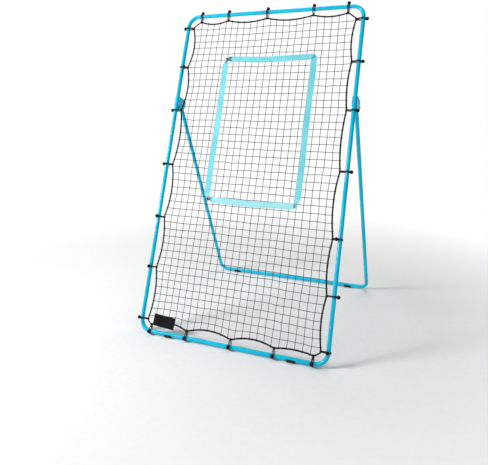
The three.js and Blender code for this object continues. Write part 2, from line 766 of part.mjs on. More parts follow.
const pivotBehind = pivotHeight * Math.sin(lean) + pivotSetback * Math.cos(lean);
frontFrame.rotation.x = -lean;
frontFrame.position.z = standHeight;
rearStand.rotation.x = legSwing;
rearStand.position.set(0, pivotBehind, standHeight + pivotAboveBars);

const rebounder = new THREE.Group();
rebounder.add(frontFrame, rearStand);

// The origin is the middle of the footprint, on the ground.
const bounds = new THREE.Box3().setFromObject(rebounder, true);
const middleY = (bounds.min.y + bounds.max.y) / 2;
frontFrame.position.y -= middleY;
rearStand.position.y -= middleY;

export default rebounder;
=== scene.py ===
"""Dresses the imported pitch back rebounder: smooth tubes, knotted net, rope, bungees and webbing.

Everything is in metres. FRONT and REAR turn a point (across, behind, up) of the leaning frame or of
the rear stand into the row frame, so each piece is drawn along its own tubes and then leaned.
"""
import json
import math
import random
from collections import namedtuple

import bmesh
import bpy
import numpy as np
from mathutils import Matrix, Quaternion, Vector, noise


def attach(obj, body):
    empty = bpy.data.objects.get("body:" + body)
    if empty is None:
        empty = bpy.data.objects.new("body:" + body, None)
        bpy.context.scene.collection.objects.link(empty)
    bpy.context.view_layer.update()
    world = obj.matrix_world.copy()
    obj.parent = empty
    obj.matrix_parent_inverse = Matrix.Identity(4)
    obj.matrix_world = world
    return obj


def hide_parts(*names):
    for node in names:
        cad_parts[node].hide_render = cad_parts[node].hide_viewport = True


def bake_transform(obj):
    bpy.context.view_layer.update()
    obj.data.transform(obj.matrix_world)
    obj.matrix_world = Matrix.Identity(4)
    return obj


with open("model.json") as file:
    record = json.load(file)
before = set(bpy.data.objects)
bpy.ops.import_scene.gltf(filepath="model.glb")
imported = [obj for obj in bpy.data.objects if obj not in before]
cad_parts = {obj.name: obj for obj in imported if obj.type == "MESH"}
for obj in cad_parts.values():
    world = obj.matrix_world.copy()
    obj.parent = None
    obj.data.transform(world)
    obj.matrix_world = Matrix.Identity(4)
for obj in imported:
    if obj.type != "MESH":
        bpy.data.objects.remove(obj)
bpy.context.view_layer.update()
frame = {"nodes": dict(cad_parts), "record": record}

# ---- sizes, as in the CAD model

GAP = 0.0003
HALF_SPAN = 0.5969
TOP_HEIGHT = 2.1086
STAND_HEIGHT = 0.0182
TUBE_RADIUS = 0.0127
BORE_RADIUS = 0.0115
SPIGOT_RADIUS = 0.0112
SPIGOT_BORE = 0.0100
SPIGOT_LENGTH = 0.060
SPIGOT_ROOT = 0.004
FRONT_CORNER = 0.072
REAR_CORNER = 0.050
BAR_LEG = 0.180
MIDDLE_JOINT = 1.000
BUTTON_INSET = 0.026
BUTTON_RADIUS = 0.0032
BUTTON_RISE = 0.003
LEAF_LENGTH = 0.030
LEAF_WIDTH = 0.007
LEAF_THICKNESS = 0.0008

PIVOT_HEIGHT = 1.505
PIVOT_SETBACK = 0.040
LEG_LENGTH = 1.505
LEG_TOP = 0.014
PLATE = 0.003
PLATE_FRONT = 0.003
PLATE_RISE = 0.030
PLATE_DROP = 0.030
PLATE_CORNER = 0.026
WEB_HEIGHT = 0.044
HOLE_CIRCLE = 0.040
HOLE_MARGIN = 0.009
HOLE_STEP = math.radians(14)
HOLES_EACH_WAY = 2  # from the one in use
PIVOT_RADIUS = 0.004
RIVET_HEAD = 0.0075  # radius
RIVET_RISE = 0.0032
PIN_RADIUS = 0.003
PIN_CHAMFER = 0.0012

PAD_LENGTH = 0.050
PAD_RADIUS = 0.0190
PAD_WRAP = math.radians(100)

ROPE_RADIUS = 0.0035
ROPE_INSET_SIDE = 0.042
ROPE_INSET_END = 0.042
ROPE_RUN = 0.007
ROPE_PULL = 0.001  # towards the tube, where a bungee holds it
SCALLOPS = {  # how far the rope draws in between two bungees, lowest or leftmost first
    "left": [0.018, 0.0185, 0.022, 0.0205, 0.023, 0.024],
    "right": [0.015, 0.013, 0.018, 0.012, 0.011, 0.014],
    "top": [0.018, 0.0175, 0.020, 0.015],
    "bottom": [0.024, 0.024, 0.023, 0.010],
}

TARGET_LEFT = -0.273
TARGET_RIGHT = 0.320
TARGET_BOTTOM = 0.854
TARGET_TOP = 1.790
BAND_WIDTH = 0.038
BAND_THICKNESS = 0.0015
TIE_INSET = 0.018

TAG_WIDTH = 0.150
TAG_HEIGHT = 0.072
TAG_FROM_SIDE = 0.160
TAG_FROM_BAR = 0.071
TAG_TILT = math.radians(4)
TAG_THICKNESS = 0.0012

BALL_RADIUS = 0.011
BUNGEE_RADIUS = 0.00225
OUTSIDE = 0  # degrees round the tube from its outer side
IN_FRONT = 90
INSIDE = 145
BALL_TURNS = {
    "left": [OUTSIDE, INSIDE, OUTSIDE, OUTSIDE, IN_FRONT, IN_FRONT, OUTSIDE],
    "right": [OUTSIDE, OUTSIDE, OUTSIDE, OUTSIDE, INSIDE, OUTSIDE, IN_FRONT],
    "top": [OUTSIDE] * 5,
    "bottom": [IN_FRONT] * 5,
}

# ---- sizes of the dressing alone

LIP = 0.0005  # rounding of a tube's end
SPIGOT_CHAMFER = 0.0005
TUBE_SIDES = 40
BEND_STEPS = 20
HOLE_ROOM = 0.009  # from the middle of a hole to the nearest rings of its tube
BUTTON_DOME = 0.0016  # height of its rounded end
LEAF_SETBACK = 0.0074  # from a tube's centreline to the middle of the leaf
LEAF_BEND = 0.0030  # how much nearer its ends are
PLATE_EDGE = 0.0005  # rounding of a plate's edges
PLATE_FRONT_CORNER = 0.006
RIVET_DIMPLE = 0.0022  # radius
PIN_HEAD_EDGE = 0.0006
PAD_RIBS = 5
PAD_GROOVE = 0.0009  # depth, and half the width at the bottom
NET_CELLS = (24, 44)  # across and up
NET_CORD = 0.0017  # radius
NET_KNOT = 0.0029
NET_SAG = 0.006  # in the middle, under its own weight
NET_JITTER = 0.0010
NET_WANDER = 0.0035  # slow waviness of the rows and columns
NET_WAVES = 4.5  # of it in a metre
NET_PASSES = 900  # of moving each knot between its four neighbours
BAND_CELLS = 24  # across a band
BAND_FOLD = 0.0055  # depth of the folds of a gathered end
BAND_BOW = 0.0016
BAND_RIPPLE = 0.0012
TIE_TURN = 0.0055  # radius of a tie's turn through the net
TIE_BEHIND = 0.004  # how far behind the net its middle is
TIE_FRONT = 0.0150  # how far in front of the net its arms are
TIE_CORD = 0.0014  # radii of the turn, the arms and the tail
TIE_ARM = 0.0026
TIE_TAIL = 0.0016
CORDS_AT_ROPE = 0.0024  # a bungee's two cords, from the middle between them
CORDS_AT_SIDE_TUBE = 0.0030
CORDS_AT_END_TUBE = 0.0050
TAG_CELLS = (36, 18)
TAG_HEM = 0.006
STITCH = 0.0036  # from one stitch to the next

rng = random.Random(7)
noise.seed_set(7)


def mount_place(name):
    return Vector(next(m["pos_m"] for m in frame["record"]["mounts"] if m["name"] == name))


def bar_place(foot):
    return Vector((0, mount_place(foot).y, STAND_HEIGHT))


def joint_axis(name):
    joints = frame["record"]["behaviour"]["joints"]
    return Vector(next(joint["axis"] for joint in joints if joint["name"] == name))


def leaning(origin, up):
    behind = Vector((0, up.z, -up.y))
    turn = Matrix(((1, 0, 0), behind, up)).transposed()
    return Matrix.Translation(origin) @ turn.to_4x4()


def placed(where, turn, axis):
    """A turn about an axis, and then a move."""
    return Matrix.Translation(where) @ Matrix.Rotation(turn, 4, axis)


REBOUND = joint_axis("net_rebound")
LEAN = math.atan2(-REBOUND.z, REBOUND.y)
FRONT = leaning(bar_place("front_left_foot"), Vector((0, math.sin(LEAN), math.cos(LEAN))))
PIVOT = FRONT @ Vector((0, PIVOT_SETBACK, PIVOT_HEIGHT))
REAR_BAR = bar_place("rear_left_foot")
REAR = leaning(REAR_BAR, (PIVOT - REAR_BAR).normalized())
LEG_SWING = math.acos((PIVOT - REAR_BAR).normalized().z)
PIN_ANGLE = LEAN + LEG_SWING + math.asin((TUBE_RADIUS + PIN_RADIUS + GAP) / HOLE_CIRCLE)
SIDES = {"left": -HALF_SPAN, "right": HALF_SPAN}  # where the side tubes are, across
ACROSS = Vector((1, 0, 0))
BEHIND = Vector((0, 1, 0))
UP = Vector((0, 0, 1))

# ---- materials


def colour(code):
    """A colour written as 18b2e0, as the linear values that a socket takes."""
    parts = [int(code[i:i + 2], 16) / 255 for i in (0, 2, 4)]
    linear = [p / 12.92 if p <= 0.04045 else ((p + 0.055) / 1.055) ** 2.4 for p in parts]
    return (*linear, 1.0)


class Shading:
    """The node tree of a new material, or of the world that it is given."""

    def __init__(self, name, world=None):
        self.owner = world or bpy.data.materials.new(name)
        self.owner.use_nodes = True
        self.tree = self.owner.node_tree
        self.tree.nodes.clear()

    def add(self, kind, inputs, output=0, **settings):
        node = self.tree.nodes.new("ShaderNode" + kind)
        for key, value in settings.items():
            setattr(node, key, value)
        for key, value in inputs.items():
            if isinstance(value, bpy.types.NodeSocket):
                self.tree.links.new(value, node.inputs[key])
            else:
                node.inputs[key].default_value = value
        return node.outputs[output] if node.outputs else None

    def math(self, operation, first, second=0.0):
        return self.add("Math", {0: first, 1: second}, operation=operation)

    def noise(self, scale, detail=4.0, stretch=(1, 1, 1)):
        where = self.add("TexCoord", {}, "Object")
        if stretch != (1, 1, 1):
            where = self.add("Mapping", {"Vector": where, "Scale": stretch})
        return self.add("TexNoise", {"Vector": where, "Scale": scale, "Detail": detail}, "Fac")

    def between(self, value, low, high, to_low=0.0, to_high=1.0):
        return self.add("MapRange", {"Value": value, "From Min": low, "From Max": high,
                                     "To Min": to_low, "To Max": to_high})

    def mix(self, share, first, second):
        return self.add("Mix", {0: share, 6: first, 7: second}, 2, data_type="RGBA")

    def uv(self, axis):
        """Metres along a swept piece for X, and metres or turns across it for Y."""
        return self.add("SeparateXYZ", {0: self.add("TexCoord", {}, "UV")}, axis)

    def wave(self, value, period):
        """From -1 to 1, once in each period."""
        return self.math("SINE", self.math("MULTIPLY", value, 2 * math.pi / period))

    def bump(self, height, distance, strength=1.0):
        return self.add("Bump", {"Height": height, "Distance": distance, "Strength": strength})

    def surface(self, **inputs):
        named = {key.replace("_", " "): value for key, value in inputs.items()}
        self.add("OutputMaterial", {"Surface": self.add("BsdfPrincipled", named)})
        return self.owner


def powder_coat(name, low, high):
    """Glossy paint with orange peel, faint mottling between two colours and a few dull scuffs."""
    s = Shading(name)
    mottle = s.between(s.noise(7.0, 3.0), 0.35, 0.65)
    blue = s.mix(mottle, low, high)
    scuffs = s.between(s.noise(55.0, 8.0, (1, 1, 0.25)), 0.60, 0.72)
    paint = s.mix(s.math("MULTIPLY", scuffs, 0.4), blue, colour("5cc6da"))
    rough = s.add("Math", {0: scuffs, 1: 0.25, 2: 0.24}, operation="MULTIPLY_ADD")
    peel = s.bump(s.noise(320.0, 2.0), 0.00012, 0.4)
    return s.surface(Base_Color=paint, Roughness=rough, Normal=peel, Specular_IOR_Level=0.22,
                     Coat_Weight=0.10, Coat_Roughness=0.12)


def zinc_plate():
    """Dull plated steel with fine streaks."""
    s = Shading("zinc_plate")
    streaks = s.noise(260.0, 6.0, (0.15, 1, 1))
    base = s.mix(s.between(streaks, 0.3, 0.7), colour("8f949a"), colour("c3c7ca"))
    rough = s.between(s.noise(90.0, 5.0), 0.3, 0.7, 0.28, 0.5)
    return s.surface(Base_Color=base, Metallic=1.0, Roughness=rough, Normal=s.bump(streaks, 0.00005, 0.4))


def moulded_rubber():
    """Matt black rubber, a little dusty."""
    s = Shading("moulded_rubber")
    dust = s.between(s.noise(38.0, 7.0), 0.5, 0.8)
    base = s.mix(s.math("MULTIPLY", dust, 0.3), colour("161617"), colour("55534f"))
    return s.surface(Base_Color=base, Roughness=s.between(dust, 0, 1, 0.62, 0.85),
                     Normal=s.bump(s.noise(900.0, 3.0), 0.0001, 0.5))


def braid(name, dark, light, pitch, strands, depth, roughness):
    """Braided cord: two sets of yarns that wind round it in opposite ways."""
    s = Shading(name)
    turns = s.math("MULTIPLY", s.uv("Y"), strands * pitch)
    left = s.wave(s.math("ADD", s.uv("X"), turns), pitch)
    right = s.wave(s.math("SUBTRACT", s.uv("X"), turns), pitch)
    yarns = s.math("MAXIMUM", left, right)
    fuzz = s.noise(700.0, 3.0)
    height = s.math("ADD", yarns, s.math("MULTIPLY", fuzz, 0.6))
    # The colour follows the yarns' relief: painted shade in the grooves and painted highlight on the
    # crests.
    base = s.mix(s.between(height, -0.4, 1.5), dark, light)
    return s.surface(Base_Color=base, Roughness=roughness, Normal=s.bump(height, depth, 0.8),
                     Specular_IOR_Level=0.12, Sheen_Weight=0.02, Sheen_Roughness=0.5)


def woven_webbing():
    """Pale blue flat webbing: a tight weave, a line of stitches near each edge, painted shade in the
    folds where an end is gathered, and a lower band that is lighter. X runs from the nearest end."""
    s = Shading("woven_webbing")
    along, across = s.uv("X"), s.uv("Y")
    weave = s.math("MULTIPLY", s.wave(along, 0.0022), s.wave(across, 0.0026))
    edge = s.math("ABSOLUTE", across)
    stitch_line = s.add("Math", {0: edge, 1: BAND_WIDTH / 2 - 0.0035, 2: 0.0005}, operation="COMPARE")
    dashes = s.math("GREATER_THAN", s.wave(along, 0.0044), -0.4)
    stitches = s.math("MULTIPLY", stitch_line, dashes)
    cloudy = s.between(s.noise(9.0, 4.0), 0.35, 0.65)
    height = s.add("SeparateXYZ", {0: s.add("TexCoord", {}, "Object")}, "Z")
    # Lighter towards the bottom: from 0.86 m down to 0.83 m up, the webbing turns paler.
    lighter_low_band = s.between(height, 0.86, 0.83, 0.0, 0.55)
    base = s.mix(cloudy, colour("62d0de"), colour("7bdce8"))
    base = s.mix(lighter_low_band, base, colour("c2f2f8"))
    # Painted shade: darker teal in the folds of each gathered end, where the folds would be in shade.
    gather = s.between(along, 0.0, 0.034, 1.0, 0.0)
    fold_shade = s.between(s.wave(across, 0.0095), -0.2, 0.9, 0.0, 0.75)
    base = s.mix(s.math("MULTIPLY", gather, fold_shade), base, colour("1c8ea6"))
    # Painted highlight: the weave's raised yarns are mixed towards a lighter blue.
    base = s.mix(s.between(weave, -1, 1, 0.0, 0.35), base, colour("a6e8f0"))
    base = s.mix(stitches, base, colour("45b8cc"))
    relief = s.math("SUBTRACT", weave, s.math("MULTIPLY", stitches, 2.0))
    return s.surface(Base_Color=base, Roughness=0.62, Normal=s.bump(relief, 0.00018, 0.7),
                     Specular_IOR_Level=0.3, Sheen_Weight=0.1, Sheen_Roughness=0.4)


def tag_weave():
    """Plain black woven cloth."""
    s = Shading("tag_weave")
    weave = s.math("MULTIPLY", s.wave(s.uv("X"), 0.0011), s.wave(s.uv("Y"), 0.0011))
    base = s.mix(s.between(s.noise(60.0, 5.0), 0.3, 0.7), colour("070709"), colour("121215"))
    return s.surface(Base_Color=base, Roughness=0.75, Normal=s.bump(weave, 0.0001, 0.6),
                     Specular_IOR_Level=0.15, Sheen_Weight=0.04, Sheen_Roughness=0.45)


def glossy_plastic():
    """Black moulded plastic with fine scratches."""
    s = Shading("glossy_plastic")
    scratches = s.between(s.noise(300.0, 9.0, (1, 0.2, 1)), 0.55, 0.75)
    base = s.mix(scratches, colour("060607"), colour("18191b"))
    return s.surface(Base_Color=base, Roughness=s.between(scratches, 0, 1, 0.35, 0.55),
                     Specular_IOR_Level=0.15, Normal=s.bump(s.noise(350.0, 4.0), 0.00006, 0.4))


PAINT = powder_coat("powder_coat", colour("05bcde"), colour("0acaec"))
# The brackets' paint is the tubes' blue made lighter: painted light, for the brighter light that the
# plates catch.
PLATE_PAINT_WITH_PAINTED_LIGHT = powder_coat("plate_powder_coat_painted_light", colour("35c8ea"), colour("4ed6f4"))
ZINC = zinc_plate()
RUBBER = moulded_rubber()
ROPE = braid("braided_rope", colour("050506"), colour("17181a"), 0.0044, 6, 0.0005, 0.72)
ELASTIC = braid("braided_elastic", colour("040405"), colour("131416"), 0.0026, 5, 0.0003, 0.7)
TWINE = braid("net_twine", colour("08080a"), colour("1e1f22"), 0.0016, 3, 0.00015, 0.78)
WEBBING = woven_webbing()
CLOTH = tag_weave()
PLASTIC = glossy_plastic()

# ---- meshes


class Skin:
    """A mesh in the making, in the axes of the frame that it leans with."""

    def __init__(self):
        self.points = []
        self.faces = []
        self.uvs = []

    def rings(self, rings, lengths, loop=False):
        """Skins closed rings of points one after another, and caps the ends unless they loop."""
        start = len(self.points)
        sides = len(rings[0])
        self.points += [point for ring in rings for point in ring]
        for i in range(len(rings) if loop else len(rings) - 1):
            here = start + i * sides
            there = start + (i + 1) % len(rings) * sides
            for k in range(sides):
                n = (k + 1) % sides
                self.faces.append((here + k, here + n, there + n, there + k))
                self.uvs += [(lengths[i], k / sides), (lengths[i], (k + 1) / sides),
                             (lengths[i + 1], (k + 1) / sides), (lengths[i + 1], k / sides)]
        if not loop:
            for first in (start, start + (len(rings) - 1) * sides):
                self.faces.append(tuple(range(first, first + sides)))
                self.uvs += [(0, 0)] * sides

    def sweep(self, points, normal, sections, loop=False):
        """Sweeps a section along points: one section of (side, over) pairs for each point."""
        rings = []
        count = len(points)
        for i, (point, section) in enumerate(zip(points, sections)):
            before = points[i - 1] if loop or i > 0 else point
            after = points[(i + 1) % count] if loop or i < count - 1 else point
            along = (after - before).normalized()
            side = normal.cross(along).normalized()
            over = along.cross(side)
            rings.append([point + side * a + over * b for a, b in section])
        self.rings(rings, lengths_along([*points, points[0]]), loop)

    def cord(self, points, normal, radius, sides, loop=False):
        self.sweep(points, normal, [circle(radius, sides)] * len(points), loop)

    def turned(self, profile, place, sides=32):
        """A profile of (radius, height) turned about the place's Z axis."""
        rings = [[place @ Vector((a, b, height)) for a, b in circle(radius, sides)]
                 for radius, height in profile]
        self.rings(rings, [height for _, height in profile])

    def mesh(self, place=FRONT):
        made = bpy.data.meshes.new("made")
        made.from_pydata([place @ Vector(point) for point in self.points], [], self.faces)
        layer = made.uv_layers.new(name="UVMap")
        layer.data.foreach_set("uv", [x for uv in self.uvs for x in uv])
        return made


def lengths_along(points):
    """Each point's distance from the first one, along the line."""
    lengths = [0.0]
    for before, after in zip(points, points[1:]):
        lengths.append(lengths[-1] + (after - before).length)
    return lengths


def circle(radius, sides, centre=(0, 0)):
    return arc(centre, radius, 0, 2 * math.pi, sides)[:-1]


def arc(centre, radius, start, end, steps):
    turns = [start + (end - start) * i / steps for i in range(steps + 1)]
    return [(centre[0] + radius * math.cos(t), centre[1] + radius * math.sin(t)) for t in turns]


def dome(radius, height, base, steps):
    """A rounded head's profile of (radius, height), from its rim to just short of its top."""
    turns = [math.pi / 2 * i / steps for i in range(steps)]
    return [(radius * math.cos(t), base + height * math.sin(t)) for t in turns]


def mesh_of(made, name="made"):
    """A mesh of a bmesh, which is freed."""
    mesh = bpy.data.meshes.new(name)
    made.to_mesh(mesh)
    made.free()
    return mesh


def place_object(name, data):
    made = bpy.data.objects.new(name, data)
    bpy.context.scene.collection.objects.link(made)
    return made


def evaluated(holder):
    """A new mesh of what a curve or an object with modifiers comes out as."""
    bpy.context.view_layer.update()
    return bpy.data.meshes.new_from_object(holder.evaluated_get(bpy.context.evaluated_depsgraph_get()))


def rounded_box(low, high, bevel):
    """A mesh of a box with rounded edges."""
    made = bmesh.new()
    bmesh.ops.create_cube(made, size=1)
    for vertex in made.verts:
        vertex.co = Vector(lo + (hi - lo) * (c + 0.5) for lo, hi, c in zip(low, high, vertex.co))
    bmesh.ops.bevel(made, geom=made.edges[:], offset=bevel, segments=3, profile=0.5, affect="EDGES")
    return mesh_of(made)


def flat_plate(outlines, thickness, bevel, place):
    """A mesh of a flat plate: the first outline is its rim and the others are holes in it."""
    curve = bpy.data.curves.new("made", "CURVE")
    curve.dimensions = "2D"
    curve.fill_mode = "BOTH"
    curve.extrude = thickness / 2 - bevel
    curve.bevel_depth = bevel
    curve.bevel_resolution = 2
    curve.offset = -bevel
    for outline in outlines:
        spline = curve.splines.new("POLY")
        spline.points.add(len(outline) - 1)
        for point, (a, b) in zip(spline.points, outline):
            point.co = (a, b, 0, 1)
        spline.use_cyclic_u = True
    holder = place_object("made", curve)
    mesh = evaluated(holder)
    bpy.data.objects.remove(holder)
    mesh.transform(place)
    return mesh


def smooth(mesh):
    """Smooth shading but for the sharp edges."""
    mesh.shade_smooth()
    mesh.set_sharp_from_angle(angle=math.radians(40))


def make_object(name, meshes):
    """One smooth object from several meshes, with outward faces."""
    joined = bmesh.new()
    for mesh in meshes:
        joined.from_mesh(mesh)
    bmesh.ops.recalc_face_normals(joined, faces=joined.faces[:])
    whole = mesh_of(joined, name)
    smooth(whole)
    return place_object(name, whole)


def cut(piece, cutters):
    """Cuts the cutters' meshes out of a piece."""
    tool = make_object("cutter", cutters)
    modifier = piece.modifiers.new("cut", "BOOLEAN")
    modifier.operation = "DIFFERENCE"
    modifier.solver = "EXACT"
    modifier.object = tool
    result = evaluated(piece)
    piece.modifiers.remove(modifier)
    piece.data = result
    bpy.data.objects.remove(tool)


def dress(piece, material, body, nodes):
    """Gives a piece its finish and its body, and hides the CAD nodes that it stands for."""
    piece.data.materials.append(material)
    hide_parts(*nodes)
    if body:
        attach(piece, body)


def local_corners(node):
    """Lowest and highest (across, behind, up) of a CAD node along the leaning frame."""
    back = FRONT.inverted()
    points = np.array([back @ v.co for v in frame["nodes"][node].data.vertices])
    return Vector(points.min(0)), Vector(points.max(0))


# ---- tubes

# A tube's ends as (distance beyond the last point, radius), from the outside in.
ROUNDED = [(LIP * 0.7, TUBE_RADIUS - LIP * 0.3), (LIP, TUBE_RADIUS - LIP)]
PLAIN_END = [*ROUNDED, (LIP, BORE_RADIUS + LIP), (LIP * 0.7, BORE_RADIUS + LIP * 0.3), (0, BORE_RADIUS)]
SPIGOT_END = [*ROUNDED, (LIP, SPIGOT_RADIUS), (LIP + SPIGOT_LENGTH - 2 * SPIGOT_CHAMFER, SPIGOT_RADIUS),
              (LIP + SPIGOT_LENGTH, SPIGOT_RADIUS - SPIGOT_CHAMFER), (LIP + SPIGOT_LENGTH, SPIGOT_BORE),
              (LIP - SPIGOT_ROOT, SPIGOT_BORE), (LIP - 2 * SPIGOT_ROOT, BORE_RADIUS)]


def pipe(points, first, last):
    """A tube's wall along points: down its outside, round one end, back up its bore, round the other."""
    count = len(points)
    stations = [(i, 0.0, TUBE_RADIUS) for i in range(count)]
    stations += [(count - 1, beyond, radius) for beyond, radius in last]
    stations += [(i, 0.0, BORE_RADIUS) for i in range(count - 2, 0, -1)]
    stations += [(0, -beyond, radius) for beyond, radius in reversed(first)]
    centres = []
    rings = []
    for i, beyond, radius in stations:
        along = (points[min(i + 1, count - 1)] - points[max(i - 1, 0)]).normalized()
        side = BEHIND.cross(along).normalized()
        centre = points[i] + along * beyond
        centres.append(centre)
        rings.append([centre + side * a + BEHIND * b for a, b in circle(radius, TUBE_SIDES)])
    lengths = lengths_along(centres)
    skin = Skin()
    skin.rings(rings, [*lengths, lengths[-1]], loop=True)
    return skin


def straight_run(x, low, high, rings_at):
    """Points up a straight tube, with extra ones on both sides of each hole."""
    heights = {low + LIP, high - LIP}
    for height in rings_at:
        heights |= {height - HOLE_ROOM, height + HOLE_ROOM}
    return [Vector((x, 0, z)) for z in sorted(heights)]


def bar_points(radius, hole_height):
    """Centreline of a bar with two short legs that point up."""
    end = BAR_LEG - LIP
    heights = (end, hole_height + HOLE_ROOM, hole_height - HOLE_ROOM)
    left = [Vector((-HALF_SPAN, 0, z)) for z in heights if z <= end]
    bend = arc((-HALF_SPAN + radius, radius), radius, math.pi, 1.5 * math.pi, BEND_STEPS)
    left += [Vector((x, 0, z)) for x, z in bend]
    right = [Vector((-p.x, p.y, p.z)) for p in reversed(left)]
    return left + right


def rod(radius, low, high, place):
    """A cutter along the place's Z axis, with room round what goes in its hole."""
    skin = Skin()
    skin.turned([(radius + GAP, low), (radius + GAP, high)], place, 24)
    return skin


def button_hole(x, height, wall=-1):
    """Through a tube's front wall, or through its back wall for wall = 1."""
    return rod(BUTTON_RADIUS, 0, 2 * TUBE_RADIUS, placed((x, 0, height), math.pi / 2 * -wall, "X"))


def leg_button_holes(height, wall=-1):
    return [button_hole(x, height, wall) for x in SIDES.values()]


def pivot_hole(x):
    half = 2 * TUBE_RADIUS
    return rod(PIVOT_RADIUS, -half, half, placed((x, 0, LEG_LENGTH), math.pi / 2, "Y"))


def add_tube(name, points, ends, place, body, holes):
    tube = make_object(name + "_pipe", [pipe(points, *ends).mesh(place)])
    cut(tube, [hole.mesh(place) for hole in holes])
    smooth(tube.data)
    dress(tube, PAINT, body, [name])


def add_front_tubes():
    low = BAR_LEG + GAP
    high = TOP_HEIGHT - BAR_LEG - GAP
    add_tube("bottom_bar", bar_points(FRONT_CORNER, BAR_LEG), (SPIGOT_END, SPIGOT_END), FRONT, "frame",
             leg_button_holes(low + BUTTON_INSET))
    top = FRONT @ Matrix.Translation((0, 0, TOP_HEIGHT)) @ Matrix.Diagonal((1, 1, -1, 1))
    hole = BAR_LEG - BUTTON_INSET
    add_tube("top_bar", bar_points(FRONT_CORNER, hole), (PLAIN_END, PLAIN_END), top, "frame",
             leg_button_holes(hole))
    for side, x in SIDES.items():
        add_side_tube(f"{side}_lower_tube", x, low, MIDDLE_JOINT)
        add_side_tube(f"{side}_upper_tube", x, MIDDLE_JOINT + GAP, high)


def add_side_tube(name, x, low, high):
    """A straight tube whose lower end takes one button and whose spigot takes the next one."""
    hole = low + BUTTON_INSET
    holes = [button_hole(x, hole), button_hole(x, high + GAP + BUTTON_INSET)]
    add_tube(name, straight_run(x, low, high, [hole]), (PLAIN_END, SPIGOT_END), FRONT, "frame", holes)


def add_rear_tubes():
    low = BAR_LEG + GAP
    hole = low + BUTTON_INSET
    add_tube("rear_bar", bar_points(REAR_CORNER, BAR_LEG), (SPIGOT_END, SPIGOT_END), REAR, "rear_stand",
             leg_button_holes(hole, 1))
    for side, x in SIDES.items():
        pivot_rings = LEG_LENGTH - 0.003  # a little low, so that both stay inside the leg's end
        run = straight_run(x, low, LEG_LENGTH + LEG_TOP, [hole, pivot_rings])
        add_tube(f"{side}_rear_leg", run, (PLAIN_END, PLAIN_END), REAR, "rear_stand",
                 [button_hole(x, hole, 1), pivot_hole(x)])


def snap_button(place):
    """A domed button on the end of its bent spring leaf inside the tube."""
    skin = Skin()
    top = TUBE_RADIUS + BUTTON_RISE
    root = LEAF_SETBACK + LEAF_THICKNESS / 4
    skin.turned([(BUTTON_RADIUS, root), *dome(BUTTON_RADIUS, BUTTON_DOME, top - BUTTON_DOME, 10),
                 (0.0004, top)], place @ Matrix.Rotation(math.pi / 2, 4, "X"), 24)
    leaf = [Vector((0, LEAF_BEND * t ** 2 - LEAF_SETBACK, -t * LEAF_LENGTH / 2))
            for t in [i / 8 for i in range(-8, 9)]]
    a, b = LEAF_WIDTH / 2, LEAF_THICKNESS / 2
    strip = [(-a, -b), (a, -b), (a, b), (-a, b)]
    skin.sweep([place @ p for p in leaf], place.to_3x3() @ BEHIND, [strip] * len(leaf))
    return skin


def add_snap_buttons():
    """One at each joint of the tubes. Those of the rear stand face backwards."""
    low = BAR_LEG + GAP
    joints = {"bottom": (low, 0, FRONT), "middle": (MIDDLE_JOINT + GAP, 0, FRONT),
              "top": (TOP_HEIGHT - BAR_LEG, 0, FRONT), "rear": (low, math.pi, REAR)}
    for side, x in SIDES.items():
        for level, (seam, turn, leaning_with) in joints.items():
            name = f"{side}_{level}"
            button = snap_button(placed((x, 0, seam + BUTTON_INSET), turn, "Z"))
            dress(make_object(name + "_button_cap", [button.mesh(leaning_with)]), ZINC,
                  name + "_button", [name + "_snap_button"])


# ---- hinges


def plate_outlines():
    """The cheek's rim and holes, as (behind, up) from the pivot."""
    reach = HOLES_EACH_WAY * HOLE_STEP + math.asin(HOLE_MARGIN / HOLE_CIRCLE)
    middle = PIN_ANGLE - math.pi / 2
    rim = arc((0, 0), HOLE_CIRCLE + HOLE_MARGIN, middle - reach, middle + reach, 40)
    rim_y, rim_z = rim[-1]
    corner = [(rim_y - PLATE_CORNER * (1 - math.cos(t)), rim_z + (PLATE_RISE - rim_z) * math.sin(t))
              for t in [i * math.pi / 24 for i in range(1, 13)]]
    radius = PLATE_FRONT_CORNER
    front = -PIVOT_SETBACK - PLATE_FRONT + radius
    front_corners = [*arc((front, PLATE_RISE - radius), radius, math.pi / 2, math.pi, 6),
                     *arc((front, -PLATE_DROP + radius), radius, math.pi, 1.5 * math.pi, 6)]
    outlines = [[*rim, *corner, *front_corners]]
    for i in range(-HOLES_EACH_WAY, HOLES_EACH_WAY + 1):
        angle = PIN_ANGLE + i * HOLE_STEP
        centre = (HOLE_CIRCLE * math.sin(angle), -HOLE_CIRCLE * math.cos(angle))
        outlines.append(circle(PIN_RADIUS + GAP, 24, centre))
    outlines.append(circle(PIVOT_RADIUS + GAP, 24))
    return outlines


def bracket_meshes(pivot):
    """Two cheeks beside the tube and the leg, and the web between them behind the tube."""
    outlines = plate_outlines()
    inside = TUBE_RADIUS + GAP
    middle = inside + PLATE / 2
    meshes = []
    for cheek in (-1, 1):
        upright = Matrix(((0, 0, 1, cheek * middle), (1, 0, 0, 0), (0, 1, 0, 0), (0, 0, 0, 1)))
        meshes.append(flat_plate(outlines, PLATE, PLATE_EDGE, pivot @ upright))
    front = inside - PIVOT_SETBACK
    rise = WEB_HEIGHT / 2
    web = rounded_box((-middle, front, -rise), (middle, front + PLATE, rise), PLATE_EDGE)
    web.transform(pivot)
    return [*meshes, web]


def add_hinges():
    for side, x in SIDES.items():
        pivot = FRONT @ Matrix.Translation((x, PIVOT_SETBACK, PIVOT_HEIGHT))
        dress(make_object(f"{side}_bracket_plate", bracket_meshes(pivot)), PLATE_PAINT_WITH_PAINTED_LIGHT,
              "frame", [f"{side}_hinge_bracket"])
        add_rivet(side, pivot)
        add_stop_pin(side, x)


